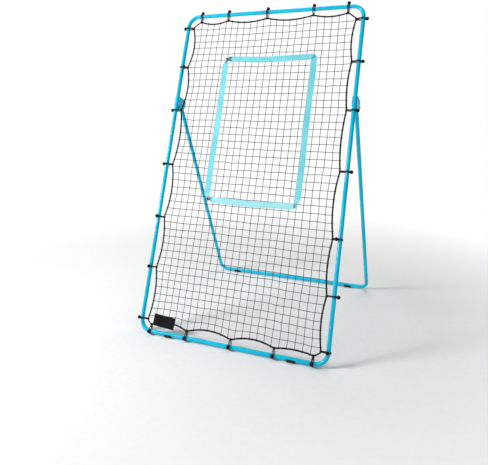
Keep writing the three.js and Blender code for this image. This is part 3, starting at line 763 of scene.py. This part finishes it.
def add_rivet(side, pivot):
    """A rivet with a domed, dimpled head on both sides."""
    half = TUBE_RADIUS + GAP + PLATE + GAP
    top = half + RIVET_RISE
    head = [*dome(RIVET_HEAD, RIVET_RISE, half, 8), (RIVET_DIMPLE, top),
            (RIVET_DIMPLE - 0.0002, top - 0.0008), (0.0003, top - 0.0010)]
    profile = [*[(r, -h) for r, h in reversed(head)], (PIVOT_RADIUS, -half), (PIVOT_RADIUS, half), *head]
    skin = Skin()
    skin.turned(profile, Matrix.Rotation(math.pi / 2, 4, "Y"))
    rivet = make_object(f"{side}_rivet", [skin.mesh(pivot)])
    dress(rivet, ZINC, "frame", [f"{side}_pivot_rivet"])


def add_stop_pin(side, x):
    """A chamfered pin with a round-edged head, where the CAD pin is."""
    low, high = local_corners(f"{side}_stop_pin")
    outer = max(abs(low.x), abs(high.x)) - HALF_SPAN
    tip = min(abs(low.x), abs(high.x)) - HALF_SPAN
    head = TUBE_RADIUS + 2 * GAP + PLATE
    rim = (high.z - low.z) / 2
    edge = PIN_HEAD_EDGE
    profile = [(0.0005, tip), (PIN_RADIUS - PIN_CHAMFER, tip), (PIN_RADIUS, tip + PIN_CHAMFER),
               (PIN_RADIUS, head), (rim - edge, head), (rim, head + edge), (rim, outer - 0.0025),
               (rim - edge, outer - 0.0011), (rim - 0.0020, outer - 0.0002), (rim - 0.0028, outer),
               (0.0005, outer)]
    centre = (low + high) / 2
    skin = Skin()
    skin.turned(profile, placed((x, centre.y, centre.z), math.copysign(math.pi / 2, x), "Y"))
    pin = f"{side}_pin"
    dress(make_object(pin, [skin.mesh()]), ZINC, pin, [f"{side}_stop_pin"])


# ---- feet


def foot_section(shrink):
    """A pad's section as (behind, up) from the bar's centreline, its outside drawn in by shrink."""
    down = -math.pi / 2
    around = arc((0, 0), PAD_RADIUS - shrink, down - PAD_WRAP, down + PAD_WRAP, 40)
    flat = [(y, max(z, -STAND_HEIGHT + shrink)) for y, z in around]
    return flat + arc((0, 0), TUBE_RADIUS + GAP / 2, down + PAD_WRAP, down - PAD_WRAP, 40)


def foot_stations():
    """Places along a pad and how far its outside is drawn in there, for its ends and grooves."""
    end = -PAD_LENGTH / 2
    stations = [(end, 0.0015), (end + 0.0004, 0.0006), (end + 0.0015, 0)]
    deep, lip = PAD_GROOVE, PAD_GROOVE + 0.0004
    for i in range(1, PAD_RIBS):
        x = end + PAD_LENGTH * i / PAD_RIBS
        stations += [(x - lip, 0), (x - deep, deep), (x + deep, deep), (x + lip, 0)]
    return stations + [(-x, shrink) for x, shrink in reversed(stations[:3])]


def add_feet():
    stations = foot_stations()
    rings = [[Vector((x, y, z)) for y, z in foot_section(shrink)] for x, shrink in stations]
    for name in ("front_left", "front_right", "rear_left", "rear_right"):
        centre = mount_place(name + "_foot") + UP * STAND_HEIGHT
        skin = Skin()
        skin.rings(rings, [x for x, _ in stations])
        pad = make_object(name + "_rubber_pad", [skin.mesh(Matrix.Translation(centre))])
        body = "frame" if name.startswith("front") else "rear_stand"
        dress(pad, RUBBER, body, [name + "_foot"])


# ---- border rope and net

# A side of the frame: its tube runs along from origin, the rope lies inset metres inwards of it, and
# on the tube a bungee's cords are apart metres from the middle between them.
Line = namedtuple("Line", "origin along inward inset apart")
LINES = {
    "left": Line(ACROSS * -HALF_SPAN, UP, ACROSS, ROPE_INSET_SIDE, CORDS_AT_SIDE_TUBE),
    "top": Line(UP * TOP_HEIGHT, ACROSS, -UP, ROPE_INSET_END, CORDS_AT_END_TUBE),
    "right": Line(ACROSS * HALF_SPAN, UP, -ACROSS, ROPE_INSET_SIDE, CORDS_AT_SIDE_TUBE),
    "bottom": Line(Vector(), ACROSS, UP, ROPE_INSET_END, CORDS_AT_END_TUBE),
}


def hook_place(name, number):
    """Where a bungee sits along its tube, from the CAD model."""
    low, high = local_corners(f"{name}_bungee_{number}")
    return (low + high).dot(LINES[name].along) / 2


HOOKS = {name: [hook_place(name, i + 1) for i in range(len(turns))] for name, turns in BALL_TURNS.items()}


def rope_side(name, way):
    """Rope along one side: straight past each bungee, drawn in between two of them. A way of -1 runs from
    the highest or rightmost bungee to the first."""
    line = LINES[name]

    def rope_point(at, drawn_in):
        return line.origin + line.along * at + line.inward * (line.inset + drawn_in)

    points = []
    stops = sorted(HOOKS[name])[::way]
    scallops = SCALLOPS[name][::way]
    run = way * ROPE_RUN
    for i, stop in enumerate(stops):
        points += [rope_point(stop - run, 0), rope_point(stop, -ROPE_PULL), rope_point(stop + run, 0)]
        if i < len(stops) - 1:
            start = stop + run
            length = stops[i + 1] - run - start
            for share in [k / 12 for k in range(1, 12)]:
                points.append(rope_point(start + length * share, 4 * scallops[i] * share * (1 - share)))
    return points


def rope_points():
    """The rope of each side, clockwise from the bottom of the left one."""
    return {name: rope_side(name, way) for name, way in zip(LINES, (1, 1, -1, -1))}


def with_corners(sides):
    """Each side's points with the middles of the slanting corners at both its ends."""
    middles = [(sides[i - 1][-1] + sides[i][0]) / 2 for i in range(4)]
    return [[middles[i], *side, middles[(i + 1) % 4]] for i, side in enumerate(sides)]


def spaced(points, count):
    """count + 1 points at equal steps along a line of points."""
    lengths = lengths_along(points)
    at = np.linspace(0, lengths[-1], count + 1)
    columns = [np.interp(at, lengths, [p[k] for p in points]) for k in range(3)]
    return np.array(columns).T


def sag(x, z):
    """How far the net hangs behind the plane of the frame."""
    x_share = x / (HALF_SPAN - ROPE_INSET_SIDE)
    z_share = z * 2 / TOP_HEIGHT - 1
    return NET_SAG * max(0.0, 1 - x_share ** 2) * max(0.0, 1 - z_share ** 2)


def net_knots():
    """Places of the net's knots as a grid: its edges on the rope, the rest relaxed between them."""
    across, up = NET_CELLS
    left, top, right, bottom = with_corners(list(rope_points().values()))
    grid = np.zeros((across + 1, up + 1, 3))
    grid[0] = spaced(left, up)
    grid[-1] = spaced(right[::-1], up)
    grid[:, -1] = spaced(top, across)
    grid[:, 0] = spaced(bottom[::-1], across)
    for i in range(1, across):
        grid[i, 1:-1] = (grid[0, 1:-1] * (across - i) + grid[-1, 1:-1] * i) / across
    for _ in range(NET_PASSES):
        grid[1:-1, 1:-1] = (grid[:-2, 1:-1] + grid[2:, 1:-1] + grid[1:-1, :-2] + grid[1:-1, 2:]) / 4
    for i in range(1, across):
        for j in range(1, up):
            grid[i, j] += [rng.gauss(0, NET_JITTER), 0, rng.gauss(0, NET_JITTER)]
            grid[i, j] += np.array(noise.noise_vector(Vector(grid[i, j]) * NET_WAVES)) * NET_WANDER
            grid[i, j, 1] = sag(grid[i, j, 0], grid[i, j, 2])
    return grid


def through(points, steps):
    """A smooth line through points, with that many steps between two of them."""
    points = [points[0] * 2 - points[1], *points, points[-1] * 2 - points[-2]]
    line = []
    for a, b, c, d in zip(points, points[1:], points[2:], points[3:]):
        for t in [k / steps for k in range(steps)]:
            line.append(b + (c - a) * (t / 2) + (a * 2 - b * 5 + c * 4 - d) * (t * t / 2)
                        + (b * 3 - a - c * 3 + d) * (t ** 3 / 2))
    return [*line, points[-2]]


def add_net():
    """Cords with a knot at each crossing, and the turns and the selvedge that hold to the rope."""
    grid = net_knots()
    skin = Skin()
    across, up = NET_CELLS
    knots = [[Vector(point) for point in column] for column in grid]
    rows = [list(row) for row in zip(*knots)]
    for line in knots[1:-1] + rows[1:-1]:
        skin.cord(through(line, 3), BEHIND, NET_CORD, 6)
    for column in knots[1:-1]:
        for centre in column[1:-1]:
            tie_knot(skin, centre)
    edge = [(knots[i][j], UP) for j in range(1, up) for i in (0, across)]
    edge += [(knots[i][j], ACROSS) for i in range(1, across) for j in (0, up)]
    for centre, along in edge:
        wrap(skin, centre, along, ROPE_RADIUS + NET_CORD * 0.8, NET_CORD)
    selvedge = [point + LINES[name].inward * (ROPE_RADIUS + NET_CORD * 0.7)
                for name, side in rope_points().items() for point in side]
    skin.cord(selvedge, BEHIND, NET_CORD, 6, loop=True)
    dress(make_object("knotted_net", [skin.mesh()]), TWINE, "net_panel", ["net"])


def tie_knot(skin, centre):
    """A small lumpy knot where two cords cross."""
    turn = placed(centre, rng.uniform(0, math.pi), "Y") \
        @ Matrix.Rotation(math.pi / 2 + rng.uniform(-0.3, 0.3), 4, "X")
    size = NET_KNOT * rng.uniform(0.85, 1.15)
    profile = [(0.45, -0.8), (0.95, -0.4), (1.0, 0.2), (0.7, 0.7), (0.3, 0.85)]
    skin.turned([(size * r, size * h) for r, h in profile], turn, 7)


def wrap(skin, centre, along, radius, thickness):
    """A turn of cord round the rope."""
    side = along.cross(BEHIND)
    ring = [centre + side * a + BEHIND * b for a, b in circle(radius, 12)]
    skin.cord(ring, along, thickness, 5, loop=True)


def add_rope():
    points = [point for side in rope_points().values() for point in side]
    skin = Skin()
    skin.cord(points, BEHIND, ROPE_RADIUS, 14, loop=True)
    rope = make_object("braided_border_rope", [skin.mesh()])
    dress(rope, ROPE, "net_panel", ["border_rope"])


# ---- target band


# The target's corners, anticlockwise, and the band that runs from each to the next one: how far it
# droops, and its two ends. An end is its distance from the corner, the share of the width that it is
# gathered to, the length over which it opens, and how far the gather is pulled inwards.
CORNERS = {
    "bottom_left": Vector((TARGET_LEFT, 0, TARGET_BOTTOM)),
    "bottom_right": Vector((TARGET_RIGHT, 0, TARGET_BOTTOM)),
    "top_right": Vector((TARGET_RIGHT, 0, TARGET_TOP)),
    "top_left": Vector((TARGET_LEFT, 0, TARGET_TOP)),
}
BANDS = [
    (0.004, (0.020, 0.35, 0.026, 0.003), (0.002, 0.40, 0.030, -0.003)),
    (0.001, (-0.006, 0.15, 0.044, 0.014), (-0.008, 0.70, 0.018, 0.002)),
    (-0.007, (-0.006, 0.45, 0.034, -0.006), (0.019, 0.65, 0.014, 0.0)),
    (0.001, (0.000, 0.20, 0.040, 0.010), (-0.004, 0.20, 0.042, 0.011)),
]
BAND_LIFTS = (0.003, 0.001)  # off the net's knots: the level bands lie over the upright ones


def gathered(way, share, run, pull):
    """A band's share of its width this far from a gathered end, and its pull inwards."""
    opened = min(1.0, way / run)
    opened = opened * opened * (3 - 2 * opened)
    return share + (1 - share) * opened, pull * (1 - opened)


def band_ways(total):
    """Distances along a band: 2 mm apart near its ends and wider apart between."""
    close = [0.002 * k for k in range(16)]
    margin = 0.032
    middle = [margin + (total - 2 * margin) * k / 44 for k in range(45)]
    return close + middle + [total - way for way in reversed(close)]


def band_ring(centre, inward, share, ripple, lift):
    """A band's section: that share of its width, with deeper folds for a smaller share."""
    fold = BAND_FOLD * (1 - share)
    front, back = [], []
    for k in range(BAND_CELLS + 1):
        v = k / BAND_CELLS * 2 - 1
        depth = fold * math.cos(v * 2.5 * math.pi) + ripple * v * share
        level = sag(centre.x, centre.z) - NET_KNOT - lift - fold - depth
        point = centre + inward * (v * BAND_WIDTH * share / 2)
        front.append(point + BEHIND * (level - BAND_THICKNESS / 2))
        back.append(point + BEHIND * (level + BAND_THICKNESS / 2))
    return front + back[::-1]


def measure_across(skin, first):
    """Turns the UVs of a band, from that one up to its end caps, into metres across the webbing."""
    across = [(k / BAND_CELLS * 2 - 1) * BAND_WIDTH / 2 for k in range(BAND_CELLS + 1)]
    across += across[::-1]
    sides = len(across)
    for index in range(first, len(skin.uvs) - 2 * sides):
        u, v = skin.uvs[index]
        skin.uvs[index] = (u, across[round(v * sides) % sides])


def band_side(skin, start, end, droop, ends, lift):
    """One side of the target: full width in the middle, gathered into folds at both ends."""
    along = (end - start).normalized()
    inward = along.cross(BEHIND)
    (first_gap, *first_end), (last_gap, *last_end) = ends
    start = start + along * first_gap
    total = (end - along * last_gap - start).length
    ways = band_ways(total)
    phase = rng.uniform(0, 6)
    rings = []
    for way in ways:
        t = way / total
        shares, pulls = zip(gathered(way, *first_end), gathered(total - way, *last_end))
        bow = BAND_BOW * math.sin(phase + 9 * t) - droop * 4 * t * (1 - t)
        ripple = BAND_RIPPLE * math.sin(phase + 21 * t)
        centre = start + along * way + inward * (bow + sum(pulls))
        rings.append(band_ring(centre, inward, min(shares), ripple, lift))
    first = len(skin.uvs)
    skin.rings(rings, [min(way, total - way) for way in ways])
    measure_across(skin, first)


def add_target_band():
    corners = list(CORNERS.values())
    skin = Skin()
    for i, (droop, *ends) in enumerate(BANDS):
        band_side(skin, corners[i], corners[(i + 1) % 4], droop, ends, BAND_LIFTS[i % 2])
    dress(make_object("webbing_target", [skin.mesh()]), WEBBING, "net_panel", ["target_band"])


# The ties that also show in front of the target: how far to the right of their corner and above it they
# start, how far they reach over the level band, and how far their two arms spread up and down.
TIE_HOOKS = {"bottom_left": (0.008, 0.005, 0.014, 0.005), "top_left": (0.001, 0.001, 0.028, 0.008)}


def tie_hook(skin, corner, aside, raised, reach, spread):
    """Two thick arms whose tips dip through the band, and a thin tail back to the net."""
    front = corner + ACROSS * aside + UP * raised - BEHIND * TIE_FRONT
    for way in (-1, 1):
        tip = front + ACROSS * reach + UP * (way * spread)
        bend = [front, front + ACROSS * (reach * 0.45) + UP * (way * spread * 0.35), tip,
                tip + ACROSS * 0.004 + BEHIND * 0.005, tip + ACROSS * 0.003 + BEHIND * 0.014]
        skin.cord(through(bend, 4), UP, TIE_ARM, 8)
    tail = [front, corner - ACROSS * 0.002 - BEHIND * 0.004, corner + BEHIND * 0.002]
    skin.cord(through(tail, 4), UP, TIE_TAIL, 8)


def add_band_ties():
    """A turn of cord at each corner of the target that ties it to the net, behind the band."""
    for name, corner in sorted(CORNERS.items()):
        corner = corner + BEHIND * sag(corner.x, corner.z)
        middle = corner - ACROSS * math.copysign(TIE_INSET / 2, corner.x) + BEHIND * TIE_BEHIND
        skin = Skin()
        turn = [middle + UP * a + BEHIND * b for a, b in circle(TIE_TURN, 16)]
        skin.cord(turn, ACROSS, TIE_CORD, 6, loop=True)
        if name in TIE_HOOKS:
            tie_hook(skin, corner, *TIE_HOOKS[name])
        tie = make_object(f"{name}_cord_tie", [skin.mesh()])
        dress(tie, ELASTIC, "net_panel", [f"{name}_band_tie"])


# ---- tag


TAG_PLACE = placed((-HALF_SPAN + TAG_FROM_SIDE, -0.0052, TAG_FROM_BAR), TAG_TILT, "Y")


def tag_sheet():
    """A slightly wavy sheet with its UVs in metres."""
    across, up = TAG_CELLS
    skin = Skin()
    for j in range(up + 1):
        for i in range(across + 1):
            x = (i / across - 0.5) * TAG_WIDTH
            z = (j / up - 0.5) * TAG_HEIGHT
            wave = 0.0006 * math.sin(x * 60 + 1) * math.cos(z * 40)
            skin.points.append(TAG_PLACE @ Vector((x, wave, z)))
    for j in range(up):
        for i in range(across):
            first = j * (across + 1) + i
            above = first + across + 1
            skin.faces.append((first, first + 1, above + 1, above))
            skin.uvs += [(u * TAG_WIDTH / across, v * TAG_HEIGHT / up)
                         for u, v in ((i, j), (i + 1, j), (i + 1, j + 1), (i, j + 1))]
    return skin


def hem_stitches():
    """Short stitches round the tag's hem, each a little higher in its middle."""
    stitches = Skin()
    x, z = TAG_WIDTH / 2 - TAG_HEM, TAG_HEIGHT / 2 - TAG_HEM
    corners = [(-x, -z), (x, -z), (x, z), (-x, z)]
    for (x0, z0), (x1, z1) in zip(corners, corners[1:] + corners[:1]):
        count = round(math.hypot(x1 - x0, z1 - z0) / STITCH)
        for k in range(count):
            line = []
            for share, out in ((0.15, 0.0009), (0.5, 0.0012), (0.85, 0.0009)):
                t = (k + share) / count
                line.append(TAG_PLACE @ Vector((x0 + (x1 - x0) * t, -out, z0 + (z1 - z0) * t)))
            stitches.cord(line, BEHIND, 0.00032, 6)
    return stitches


def add_tag():
    """A bare cloth tag with a stitched hem."""
    tag = make_object("cloth_tag", [tag_sheet().mesh()])
    solidify = tag.modifiers.new("thickness", "SOLIDIFY")
    solidify.thickness = TAG_THICKNESS
    solidify.offset = 0
    dress(tag, CLOTH, "net_panel", ["blank_tag"])
    thread = make_object("tag_stitches", [hem_stitches().mesh()])
    dress(thread, TWINE, "net_panel", [])


# ---- bungees


def loop_points(line, way):
    """One of two cords round the tube and the rope: way is -1 or 1. They lie apart on the tube and
    together on the rope."""
    around = TUBE_RADIUS + GAP + BUNGEE_RADIUS
    hook = ROPE_RADIUS + GAP + BUNGEE_RADIUS
    leave = math.acos((around - hook) / line.inset)
    at_tube = arc((0, 0), around, leave, 2 * math.pi - leave, 26)
    at_rope = arc((line.inset, 0), hook, -leave, leave, 12)
    points = []
    for a, b in at_tube + at_rope:
        share = min(1.0, max(0.0, a / line.inset))
        shift = line.apart + (CORDS_AT_ROPE - line.apart) * share
        points.append(line.inward * a + BEHIND * b + line.along * (way * shift))
    return points


def ball(skin, centre, outwards):
    """A moulded ball with a parting line and the hole where its cord goes in."""
    place = Matrix.Translation(centre) @ outwards.to_track_quat("Z", "Y").to_matrix().to_4x4()
    profile = []
    for i in range(1, 24):
        t = math.pi * i / 24
        seam = 0.00018 if i == 12 else 0.0
        profile.append(((BALL_RADIUS + seam) * math.sin(t), -BALL_RADIUS * math.cos(t)))
    rim = BALL_RADIUS * 0.975
    hole = [(0.0026, rim), (0.0022, rim - 0.0006), (0.0021, rim - 0.0025), (0.0004, rim - 0.0026)]
    skin.turned([p for p in profile if p[1] < rim] + hole, place, 28)


def add_bungee(name, line, centre, turn):
    """A doubled elastic cord round the tube and the rope, with its ball at its own turn."""
    cords = Skin()
    for way in (-1, 1):
        loop = [centre + p for p in loop_points(line, way)]
        cords.cord(loop, line.along, BUNGEE_RADIUS, 8, loop=True)
    bead = Skin()
    outwards = -line.inward * math.cos(turn) - BEHIND * math.sin(turn)
    ball(bead, centre + outwards * (TUBE_RADIUS + GAP + BALL_RADIUS), outwards)
    made = make_object(name + "_elastic", [cords.mesh(), bead.mesh()])
    dress(made, ELASTIC, None, [name])
    made.data.materials.append(PLASTIC)
    for polygon in made.data.polygons:
        polygon.material_index = int(polygon.index >= len(cords.faces))
    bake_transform(made)


def add_bungees():
    for side, turns in BALL_TURNS.items():
        line = LINES[side]
        for number, (at, turn) in enumerate(zip(HOOKS[side], turns), 1):
            add_bungee(f"{side}_bungee_{number}", line, line.origin + line.along * at, math.radians(turn))


# ---- floor, light and camera

CAMERA_PLACE = Vector((1.2133, -2.5314, 1.5134))  # from the middle of the bottom bar
CAMERA_LOOKS = Vector((-0.38772, 0.90120, -0.19367))
CAMERA_ROLL = math.radians(-0.83)
CAMERA_LENS = 38.40
CAMERA_SHIFT = -47.3 / 488
WHITE = (1, 1, 1, 1)
SKY_LIGHT = 0.24
FLOOR_SIZE = 60
FLOOR_FADES = (1.1, 2.6)  # distances from the middle between which it turns white


def add_floor():
    """A pale floor that fades to white far from the object."""
    bpy.ops.mesh.primitive_plane_add(size=FLOOR_SIZE)
    floor = bpy.context.object
    floor.name = "floor"
    s = Shading("floor")
    where = s.add("TexCoord", {}, "Object")
    away = s.add("VectorMath", {0: where}, "Value", operation="LENGTH")
    grain = s.between(s.noise(30.0, 5.0), 0.3, 0.7)
    matt = s.add("BsdfDiffuse", {"Color": s.mix(grain, (0.88, 0.88, 0.88, 1), (0.91, 0.91, 0.91, 1))})
    white = s.add("Emission", {"Color": WHITE, "Strength": 1.0})
    looked_at = 0.0
    for kind in ("Camera", "Glossy", "Transmission"):
        looked_at = s.math("MAXIMUM", looked_at, s.add("LightPath", {}, f"Is {kind} Ray"))
    far = s.math("MULTIPLY", s.between(away, *FLOOR_FADES), looked_at)
    s.add("OutputMaterial", {"Surface": s.add("MixShader", {0: far, 1: matt, 2: white})})
    floor.data.materials.append(s.owner)


def add_world():
    """White where the camera looks at it, and a dim white sky to everything else."""
    world = bpy.data.worlds.new("studio")
    bpy.context.scene.world = world
    s = Shading("studio", world)
    sky = s.add("Background", {"Color": WHITE, "Strength": SKY_LIGHT})
    seen = s.add("Background", {"Color": WHITE, "Strength": 1.0})
    looked_at = s.add("LightPath", {}, "Is Camera Ray")
    s.add("OutputWorld", {"Surface": s.add("MixShader", {0: looked_at, 1: sky, 2: seen})})


def add_lamp(name, place, aim, size, power):
    data = bpy.data.lights.new(name, "AREA")
    data.shape = "DISK"
    data.size = size
    data.energy = power
    lamp = place_object(name, data)
    lamp.location = place
    lamp.rotation_mode = "QUATERNION"
    lamp.rotation_quaternion = (Vector(aim) - Vector(place)).to_track_quat("-Z", "Y")


def add_camera():
    data = bpy.data.cameras.new("camera")
    data.lens = CAMERA_LENS
    data.sensor_width = 36
    data.shift_y = CAMERA_SHIFT
    data.clip_end = 100
    camera = place_object("camera", data)
    camera.location = FRONT.translation + CAMERA_PLACE
    camera.rotation_mode = "QUATERNION"
    looks = CAMERA_LOOKS.to_track_quat("-Z", "Y")
    camera.rotation_quaternion = looks @ Quaternion((0, 0, 1), CAMERA_ROLL)
    bpy.context.scene.camera = camera


def add_studio():
    add_floor()
    add_world()
    add_lamp("key", (-3.4, -2.8, 3.2), (0, 0, 0.9), 1.4, 222)
    add_lamp("fill", (3.6, -2.6, 2.2), (0, 0, 0.9), 3.0, 18)
    add_lamp("top", (0.5, 1.5, 4.6), (0, 0, 0.5), 3.0, 70)
    add_camera()
    bpy.context.scene.view_settings.view_transform = "Standard"


add_front_tubes()
add_rear_tubes()
add_snap_buttons()
add_hinges()
add_feet()
add_net()
add_rope()
add_target_band()
add_band_ties()
add_tag()
add_bungees()
add_studio()
